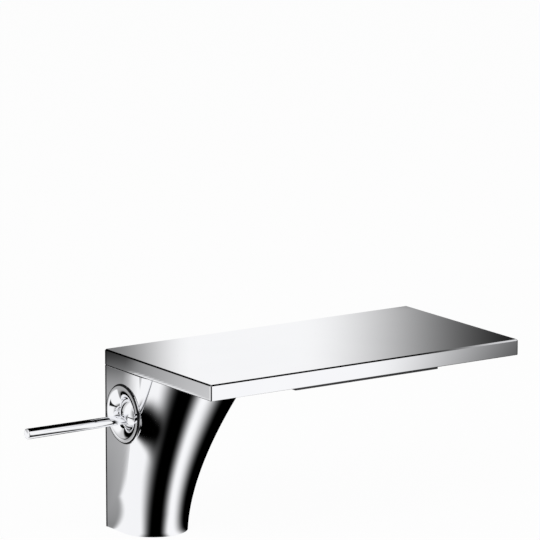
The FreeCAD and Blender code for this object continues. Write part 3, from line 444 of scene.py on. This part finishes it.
def seal_rubber(group):
    """Matt black rubber with a faint bloom and little shine."""
    rubber = grained_finish(
        "seal_rubber", group, 0.0,
        Dark_Tone=(0.006, 0.006, 0.0065, 1.0), Light_Tone=(0.014, 0.014, 0.015, 1.0),
        Broad_Scale=90.0, Fine_Scale=2200.0, Smooth=0.62, Rough=0.85, Relief=0.00003,
    )
    shader = rubber.node_tree.nodes["Principled BSDF"]
    shader.inputs["Specular IOR Level"].default_value = RUBBER_SHINE
    return rubber


def moulded_plastic(name, group, dark, light):
    """Moulded plastic with a fine tool texture."""
    return grained_finish(
        name, group, 0.0,
        Dark_Tone=dark + (1.0,), Light_Tone=light + (1.0,),
        Broad_Scale=70.0, Fine_Scale=2000.0, Smooth=0.32, Rough=0.48, Relief=0.00001,
    )


def lapped_ceramic(group):
    """Hard white ceramic, lapped flat, with tiny grey specks."""
    return grained_finish(
        "lapped_ceramic", group, 0.0,
        Dark_Tone=(0.70, 0.69, 0.66, 1.0), Light_Tone=(0.86, 0.85, 0.82, 1.0),
        Broad_Scale=900.0, Fine_Scale=3000.0, Smooth=0.12, Rough=0.22, Relief=0.000002,
    )


def all_finishes():
    """One finish for each of the record's slots, and the column's and the plate's own chrome."""
    grain = surface_grain_group()
    return {
        "chrome": polished_chrome("polished_chrome", grain),
        "column": column_chrome(grain),
        "plate": plate_chrome(grain),
        "brass": cast_brass(grain),
        "steel": turned_steel(grain),
        "black_rubber": seal_rubber(grain),
        "dark_plastic": moulded_plastic("dark_plastic", grain, *DARK_TONES),
        "white_plastic": moulded_plastic("white_plastic", grain, *WHITE_TONES),
        "blue_plastic": moulded_plastic("blue_plastic", grain, *BLUE_TONES),
        "grey_plastic": moulded_plastic("grey_plastic", grain, *GREY_TONES),
        "ceramic": lapped_ceramic(grain),
    }


def finish_cad_nodes(finishes):
    """Every CAD node takes the finish of the record's slot that its mesh carries, or its own chrome."""
    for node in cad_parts.values():
        for place in node.material_slots:
            place.material = finishes[place.material.name.split(".")[0]]
    for name, finish in (("body_shell", "column"), ("shelf_plate", "plate")):
        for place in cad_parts[name].material_slots:
            place.material = finishes[finish]


# Lever and rosette

def arc_points(first, last, radius, side, count):
    """An arc between two points of a profile.

    The circle's centre lies at the root of the radius squared less half the chord squared from the chord's
    middle, on the chord's left with side 1 and on its right with side -1."""
    first = np.array(first)
    last = np.array(last)
    chord = last - first
    half = np.hypot(*chord) / 2
    aside = np.array([-chord[1], chord[0]]) / (2 * half)
    centre = (first + last) / 2 + side * aside * np.sqrt(radius ** 2 - half ** 2)
    begin = np.arctan2(*(first - centre)[::-1])
    sweep = 2 * np.arcsin(half / radius) * side
    angle = begin + np.linspace(0.0, sweep, count)
    return centre + radius * np.stack([np.cos(angle), np.sin(angle)], axis=-1)


def turned_grid(profile, y, z, turns):
    """A profile of (x, radius) turned about a line along X: the point at angle a is the profile's x,
    y plus radius times the cosine of a, z plus radius times the sine of a."""
    angle = np.linspace(0.0, 2 * np.pi, turns, endpoint=False)
    grid = np.empty((len(profile), turns, 3))
    grid[:, :, 0] = profile[:, :1]
    grid[:, :, 1] = y + profile[:, 1:] * np.cos(angle)
    grid[:, :, 2] = z + profile[:, 1:] * np.sin(angle)
    return grid


def ring_piece(name, grid, looped, body, finish):
    """A closed piece from a grid whose rows are rings: rows of one point close to a pole, and a looped
    grid's last row joins its first. It rides on the body and belongs to the record's slot."""
    rows, turns = grid.shape[:2]
    number = np.arange(rows * turns).reshape(rows, turns)
    if looped:
        number = np.concatenate([number, number[:1]])
    turned = np.roll(number, -1, axis=1)
    faces = np.stack([number[:-1], number[1:], turned[1:], turned[:-1]], axis=-1).reshape(-1, 4)
    mesh = bpy.data.meshes.new(name)
    mesh.from_pydata(grid.reshape(-1, 3).tolist(), [], faces.tolist())
    shell = bmesh.new()
    shell.from_mesh(mesh)
    bmesh.ops.remove_doubles(shell, verts=shell.verts, dist=WELD_DISTANCE)
    if shell.calc_volume(signed=True) < 0.0:
        bmesh.ops.reverse_faces(shell, faces=shell.faces)
    shell.to_mesh(mesh)
    shell.free()
    mesh.shade_smooth()
    mesh.set_sharp_from_angle(angle=np.radians(SHARP_ANGLE))
    mesh.materials.append(finish)
    piece = bpy.data.objects.new(name, mesh)
    bpy.context.scene.collection.objects.link(piece)
    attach(piece, body)
    return piece


def lever_pin_skin(finish):
    """The pin: a flat tip, a rounded edge, and a cone that narrows to the ball."""
    low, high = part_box("lever_pin")
    tip, root = low[0], high[0]
    shoulder = (tip + PIN_TIP_EDGE, PIN_TIP_RADIUS)
    face = (tip, PIN_TIP_RADIUS - PIN_TIP_EDGE)
    edge = arc_points(face, shoulder, PIN_TIP_EDGE, -1, PIN_EDGE_POINTS)
    neck = (PIVOT_X - BALL_RADIUS - PIN_TIP_EDGE, PIN_ROOT_RADIUS)
    cone = np.linspace(shoulder, neck, PIN_CONE_POINTS)[1:]
    end = np.array([(root, PIN_ROOT_RADIUS), (root, 0.0)])
    profile = np.concatenate([[(tip, 0.0)], edge, cone, end])
    grid = turned_grid(profile, LEVER_Y, LEVER_Z - PIN_DROP, PIN_TURNS)
    piece = ring_piece("lever_pin_skin", grid, False, "lever", finish)
    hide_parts("lever_pin")


def lever_ball_skin(finish):
    """The ball: a sphere's cap about the pivot, with a fine groove round the pin and a hollow behind.

    Rings spread from the pole on the pin's axis to the rim's plane. On the great circle that leaves the
    pole at angle a, the rim lies where the sum of the cosine and the sine of the angle from the pole, each
    times the direction's x, is the rim's x. The groove lowers the radius by a bell curve of the distance
    from the pin's axis."""
    slope = np.arcsin(PIN_DROP / BALL_RADIUS)
    pole = np.array([-np.cos(slope), 0.0, -np.sin(slope)])
    upward = np.array([-np.sin(slope), 0.0, np.cos(slope)])
    sideways = np.array([0.0, 1.0, 0.0])
    a = np.linspace(0.0, 2 * np.pi, BALL_TURNS, endpoint=False)
    leaving = np.cos(a)[:, None] * upward + np.sin(a)[:, None] * sideways
    turn = np.arctan2(leaving[:, 0], pole[0])
    spread = np.arccos(-BALL_RIM / BALL_RADIUS / np.hypot(pole[0], leaving[:, 0]))
    to_rim = (turn - spread) % (2 * np.pi)
    before_groove = np.linspace(0.0, 0.12, 8)
    at_groove = np.linspace(0.125, 0.30, 60)
    past_groove = np.linspace(0.31, 1.0, 50)
    share = np.concatenate([before_groove, at_groove, past_groove])
    angle = share[:, None] * to_rim
    way = np.cos(angle)[:, :, None] * pole + np.sin(angle)[:, :, None] * leaving
    reach = BALL_RADIUS * np.hypot(way[:, :, 1], way[:, :, 2] + PIN_DROP / BALL_RADIUS)
    groove = PIN_GROOVE * np.exp(-((reach - PIN_ROOT_RADIUS) / PIN_GROOVE) ** 2)
    cap = way * (BALL_RADIUS - groove)[:, :, None]
    around = np.arctan2(cap[-1, :, 1], cap[-1, :, 2])
    back = np.zeros((3, len(a), 3))
    back[:, :, 0] = np.array([-BALL_RIM, -BALL_HOLLOW_DEPTH, -BALL_HOLLOW_DEPTH])[:, None]
    back[:2, :, 1] = BALL_HOLLOW * np.sin(around)
    back[:2, :, 2] = BALL_HOLLOW * np.cos(around)
    grid = np.concatenate([cap, back]) + np.array([PIVOT_X, LEVER_Y, LEVER_Z])
    piece = ring_piece("lever_ball_skin", grid, False, "lever", finish)
    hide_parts("lever_ball")


def rosette_skin(finish):
    """The rosette: a bevelled edge, a flat rim and an arc that rounds it down into the ball's opening, with
    a plain back."""
    rim_outside = (-ROSETTE_RISE, ROSETTE_RADIUS - ROSETTE_BEVEL)
    rim_inside = (-ROSETTE_RISE, ROSETTE_RADIUS - ROSETTE_BEVEL - ROSETTE_RIM)
    bevel = np.array([(0.0, ROSETTE_RADIUS), rim_outside])
    opening = (DISH_DEPTH, DISH_OPENING)
    dish = arc_points(rim_inside, opening, DISH_RADIUS, 1, DISH_POINTS)
    back = np.array([ROSETTE_BACK, ROSETTE_SPIGOT, (0.0, ROSETTE_SPIGOT[1])])
    profile = np.concatenate([bevel, dish, back]) + np.array([LEVER_FACE, 0.0])
    grid = turned_grid(profile, LEVER_Y, LEVER_Z, ROSETTE_TURNS)
    piece = ring_piece("rosette_skin", grid, True, "mixer", finish)
    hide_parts("rosette")


def rosette_trim(finish):
    """A thin dark ring on the rosette's edge: its profile follows the upper bevel and the start of the rim,
    a little proud of both."""
    bevel = np.array([-ROSETTE_RISE, -ROSETTE_BEVEL])
    foot = np.array([0.0, ROSETTE_RADIUS]) + bevel * TRIM_START
    corner = np.array([0.0, ROSETTE_RADIUS]) + bevel
    inner = corner - np.array([0.0, TRIM_RIM])
    outward = np.array([bevel[1], -bevel[0]]) / np.hypot(*bevel) * TRIM_LIFT
    front = np.array([-TRIM_LIFT, 0.0])
    shown = np.array([foot + outward, corner + outward, corner + front, inner + front])
    hidden = np.array([inner - front, corner - front - outward, foot - outward])
    profile = np.concatenate([shown, hidden]) + np.array([LEVER_FACE, 0.0])
    grid = turned_grid(profile, LEVER_Y, LEVER_Z, ROSETTE_TURNS)
    ring_piece("rosette_trim", grid, True, "mixer", finish)


# Studio

def ease(value, start, end):
    """The smooth step: 0 before start, 1 after end, and 3 t squared less 2 t cubed between them."""
    t = np.clip((value - start) / (end - start), 0.0, 1.0)
    return t * t * (3.0 - 2.0 * t)


def card_edge(radius, *angles):
    """A card's edge at any distance: its five stated angles, joined by straight lines in log distance."""
    return np.interp(np.log(radius), np.log(EDGE_RADII), angles)


def power_sum(value, factors):
    """The sum of the factors, each times the value to the power of its place: the first stands alone."""
    return sum(factor * value ** place for place, factor in enumerate(factors))


def right_box(angle, radius):
    """The white box on the right: one smooth step up in the angle and one down."""
    rise_start = card_edge(radius, 11.1, 13.4, 13.5, 12.0, 12.0)
    rise_end = card_edge(radius, 34.0, 44.5, 47.0, 53.0, 54.0)
    fall_start = card_edge(radius, 44.0, 48.0, 49.5, 67.0, 70.0)
    fall_end = card_edge(radius, 90.0, 99.0, 108.0, 90.0, 87.0)
    rise = ease(angle, rise_start, rise_end)
    fall = ease(angle, fall_start, fall_end)
    return RIGHT_WHITE * rise * (1.0 - fall)


def left_box(angle, radius):
    """The white box on the left, which goes over into a grey card behind it and then into the dark.

    The card's grey grows by a power of the distance and ends in a smooth step. Beyond a border whose radius
    grows with the angle, a grey sheet lies over the box and turns darker with the angle."""
    rise_start = card_edge(radius, 1.0, 0.0, -1.0, 3.0, 3.0)
    rise_end = card_edge(radius, 29.0, 38.0, 53.0, 55.0, 56.0)
    behind_start = card_edge(radius, 83.6, 92.0, 105.0, 110.6, 110.6)
    behind_end = card_edge(radius, 94.2, 99.2, 107.0, 112.2, 112.2)
    rise = ease(-angle, rise_start, rise_end)
    behind = ease(-angle, behind_start, behind_end)
    card = CARD_GREY + CARD_GROWTH * np.clip(radius - CARD_NEAR, 0.0, CARD_SPAN) ** CARD_POWER
    card = card + (CARD_DARK - card) * ease(radius, *CARD_END)
    card = card * (1.0 - CARD_DIM * ease(-angle, *CARD_DIM_ANGLES))
    card = card * (1.0 - ease(-angle, *CARD_LAST_ANGLES))
    past = -angle - SHEET_ANGLE
    border = power_sum(past, SHEET_BORDER)
    beyond = ease(radius / border, *SHEET_EDGE)
    covered = beyond * ease(past, *SHEET_ONSET)
    sheet = power_sum(np.maximum(past, 0.0), SHEET_GREY)
    white = LEFT_WHITE + (sheet - LEFT_WHITE) * covered
    return white * rise * (1.0 - behind) + card * behind


def left_wall(angle):
    """The left box above the floor, which turns grey and reaches further back than on the floor."""
    white = WALL_WHITE - WALL_FADE * ease(-angle, *WALL_FADE_ANGLES)
    return white * ease(-angle, *WALL_RISE) * (1.0 - ease(-angle, *WALL_FALL))


def floor_flag(angle, radius):
    """A dark strip on the floor at the left: 1 between two soft edges whose radii grow with the angle."""
    share = np.clip((-angle - FLAG_START) / FLAG_SPAN, 0.0, FLAG_LAST_SHARE)
    near = power_sum(share, FLAG_NEAR)
    near_soft = power_sum(share, FLAG_NEAR_SOFT)
    far = power_sum(share, FLAG_FAR)
    far_soft = power_sum(share, FLAG_FAR_SOFT)
    span = ease(-angle, *FLAG_RISE) * (1.0 - ease(-angle, *FLAG_FALL))
    inside = ease(radius, near - near_soft, near + near_soft)
    return span * inside * (1.0 - ease(radius, far - far_soft, far + far_soft))


def back_sheet(angle, height):
    """The white sheet behind the mixer, softer on its right side, grey on its left and low on the wall."""
    turned = np.where(angle < 0.0, angle + 360.0, angle)
    white = BACK_WHITE * (1.0 - BACK_FADE * ease(turned, *BACK_FADE_ANGLES))
    wide = ease(turned, *BACK_RISE) * (1.0 - ease(turned, *BACK_FALL))
    tall = ease(height, *BACK_FOOT) * (1.0 - ease(height, *BACK_TOP))
    return white * wide * tall


def skylight(radius):
    """The ceiling: white in the middle and dark round it."""
    return 1.0 - ease(radius, *SKYLIGHT_EDGE)


def upper_wall(angle, height):
    """The soft light high on the wall on the camera's side, which ends below the ceiling."""
    tall = ease(height, *UPPER_FOOT) * (1.0 - ease(height, *UPPER_TOP))
    return UPPER_WHITE * tall * (1.0 - ease(np.abs(angle - UPPER_MIDDLE), *UPPER_SIDES))


def tent_brightness(angle, radius, height):
    """Brightness on the screen, 0 to 1, of the tent at an angle from the camera's side.

    The brightest card counts on the floor and on the wall, and a dark strip lies over the floor's."""
    floor = np.maximum(right_box(angle, radius), left_box(angle, radius))
    floor = floor * (1.0 - FLAG_DEPTH * floor_flag(angle, radius))
    wall = np.maximum(right_box(angle, EDGE_RADII[-1]), left_wall(angle))
    wall = np.maximum(np.maximum(wall, back_sheet(angle, height)), upper_wall(angle, height))
    above = np.where(height > CEILING_ABOVE, skylight(radius), wall)
    return np.where(height < FLOOR_BELOW, floor, above)


def studio_tent():
    """A surface of revolution round the mixer: a floor disc, an upright wall and a ceiling.

    Point (i, j) is the profile's point j (radius, height) turned by angle i, and its colour is the
    screen brightness there to the screen's power, over the chrome's shine. Only mirrors see it."""
    near = np.geomspace(*NEAR_RINGS)
    middle = np.linspace(*MIDDLE_RINGS)
    outer = np.geomspace(*OUTER_RINGS)
    floor = np.concatenate([near, middle, outer])
    wall = np.linspace(*WALL_RINGS)
    ceiling = np.linspace(*CEILING_RINGS)
    reach = np.concatenate([floor, np.full(len(wall), TENT_RADIUS), ceiling])
    rise = np.concatenate([np.full(len(floor), TENT_LIFT), wall, np.full(len(ceiling), TENT_HEIGHT)])
    angle = np.linspace(-180.0, 180.0, TENT_TURNS, endpoint=False)
    world = np.radians(angle + TENT_FRONT)
    points = np.empty((TENT_TURNS, len(reach), 3))
    points[:, :, 0] = np.cos(world)[:, None] * reach
    points[:, :, 1] = np.sin(world)[:, None] * reach
    points[:, :, 2] = rise
    first = np.arange(TENT_TURNS * len(reach)).reshape(TENT_TURNS, len(reach))
    second = np.roll(first, -1, axis=0)
    corners = [first[:, :-1], first[:, 1:], second[:, 1:], second[:, :-1]]
    faces = np.stack(corners, axis=-1).reshape(-1, 4)
    mesh = bpy.data.meshes.new("studio_tent")
    mesh.from_pydata(points.reshape(-1, 3).tolist(), [], faces.tolist())
    bright = tent_brightness(*np.broadcast_arrays(angle[:, None], reach, rise))
    light = bright ** SCREEN_POWER / CHROME_SHINE
    colours = np.ones((TENT_TURNS, len(reach), 4))
    colours[:, :, :3] = light[:, :, None]
    attribute = mesh.attributes.new("tent_light", "FLOAT_COLOR", "POINT")
    attribute.data.foreach_set("color", colours.astype(np.float32).ravel())
    tent = bpy.data.objects.new("studio_tent", mesh)
    bpy.context.scene.collection.objects.link(tent)
    mesh.materials.append(tent_cloth())
    tent.visible_camera = False
    tent.visible_diffuse = False
    tent.visible_transmission = False
    tent.visible_volume_scatter = False
    tent.visible_shadow = False


def tent_cloth():
    """Cloth and cards that glow with the light painted on the tent."""
    material = bpy.data.materials.new("tent_cloth")
    material.use_nodes = True
    tree = material.node_tree
    tree.nodes.clear()
    output = add_node(tree, "ShaderNodeOutputMaterial")
    glow = add_node(tree, "ShaderNodeEmission")
    paint = add_node(tree, "ShaderNodeAttribute", attribute_name="tent_light")
    tree.links.new(paint.outputs["Color"], glow.inputs["Color"])
    tree.links.new(glow.outputs["Emission"], output.inputs["Surface"])
    return material


def seen_directly(tree):
    """1 for rays from the camera, a mirror or glass, and 0 for the others."""
    rays = add_node(tree, "ShaderNodeLightPath")
    mirror = calc(tree, "MAXIMUM", rays.outputs["Is Camera Ray"], rays.outputs["Is Glossy Ray"])
    return calc(tree, "MAXIMUM", mirror, rays.outputs["Is Transmission Ray"])


def floor_paper():
    """White paper: mostly its own white where it is seen, with a share that takes the shadow. From below
    it is clear, so that the part's underside can be looked at."""
    material, tree, shader = new_material("floor_paper")
    output = tree.nodes["Material Output"]
    shader.inputs["Base Color"].default_value = FLOOR_WHITE
    shader.inputs["Roughness"].default_value = FLOOR_ROUGHNESS
    white = add_node(tree, "ShaderNodeEmission")
    blend = add_node(tree, "ShaderNodeMixShader")
    tree.links.new(calc(tree, "MULTIPLY", seen_directly(tree), FLOOR_GLOW), blend.inputs["Fac"])
    tree.links.new(shader.outputs["BSDF"], blend.inputs[1])
    tree.links.new(white.outputs["Emission"], blend.inputs[2])
    side = add_node(tree, "ShaderNodeNewGeometry")
    clear = add_node(tree, "ShaderNodeBsdfTransparent")
    sheet = add_node(tree, "ShaderNodeMixShader")
    tree.links.new(side.outputs["Backfacing"], sheet.inputs["Fac"])
    tree.links.new(blend.outputs["Shader"], sheet.inputs[1])
    tree.links.new(clear.outputs["BSDF"], sheet.inputs[2])
    tree.links.new(sheet.outputs["Shader"], output.inputs["Surface"])
    return material


def studio_floor():
    """A flat square sheet under the mixer: point (i, j) is a corner at plus or minus half its size."""
    half = FLOOR_SIZE / 2
    across, away = np.meshgrid([-half, half], [-half, half])
    points = np.stack([across, away, np.zeros((2, 2))], axis=-1).reshape(-1, 3)
    mesh = bpy.data.meshes.new("studio_floor")
    mesh.from_pydata(points.tolist(), [], [(0, 1, 3, 2)])
    mesh.materials.append(floor_paper())
    floor = bpy.data.objects.new("studio_floor", mesh)
    bpy.context.scene.collection.objects.link(floor)


def studio_world():
    """White where it is seen, and a plain soft fill for everything else."""
    world = bpy.data.worlds.new("studio_world")
    world.use_nodes = True
    tree = world.node_tree
    tree.nodes.clear()
    output = add_node(tree, "ShaderNodeOutputWorld")
    back = add_node(tree, "ShaderNodeBackground")
    strength = add_node(tree, "ShaderNodeMapRange")
    strength.inputs["To Min"].default_value = WORLD_FILL
    strength.inputs["To Max"].default_value = 1.0
    tree.links.new(seen_directly(tree), strength.inputs["Value"])
    tree.links.new(strength.outputs["Result"], back.inputs["Strength"])
    tree.links.new(back.outputs["Background"], output.inputs["Surface"])
    bpy.context.scene.world = world


def soft_lamp(name, place, target, size, power):
    """A square soft box that looks at a point, and that mirrors don't see."""
    lamp = bpy.data.lights.new(name, "AREA")
    lamp.size = size
    lamp.energy = power
    holder = bpy.data.objects.new(name, lamp)
    holder.location = place
    holder.rotation_euler = (Vector(target) - Vector(place)).to_track_quat("-Z", "Y").to_euler()
    holder.visible_glossy = False
    bpy.context.scene.collection.objects.link(holder)


def studio_camera():
    """The photograph's camera, turned by its right, up and backward directions."""
    data = bpy.data.cameras.new("photo_camera")
    data.lens = CAMERA_LENS
    data.sensor_width = CAMERA_SENSOR
    camera = bpy.data.objects.new("photo_camera", data)
    forward = CAMERA_FORWARD.normalized()
    right = CAMERA_RIGHT.normalized()
    up = right.cross(forward)
    turn = Matrix((right, up, -forward)).transposed()
    camera.matrix_world = Matrix.Translation(CAMERA_PLACE) @ turn.to_4x4()
    bpy.context.scene.collection.objects.link(camera)
    bpy.context.scene.camera = camera


finishes = all_finishes()
finish_cad_nodes(finishes)
lever_pin_skin(finishes["chrome"])
lever_ball_skin(finishes["chrome"])
rosette_skin(finishes["chrome"])
rosette_trim(finishes["black_rubber"])
studio_tent()
studio_floor()
studio_world()
soft_lamp("key_lamp", KEY_PLACE, LAMP_TARGET, LAMP_SIZE, KEY_POWER)
soft_lamp("fill_lamp", FILL_PLACE, LAMP_TARGET, LAMP_SIZE, FILL_POWER)
studio_camera()
bpy.context.scene.view_settings.view_transform = "Standard"
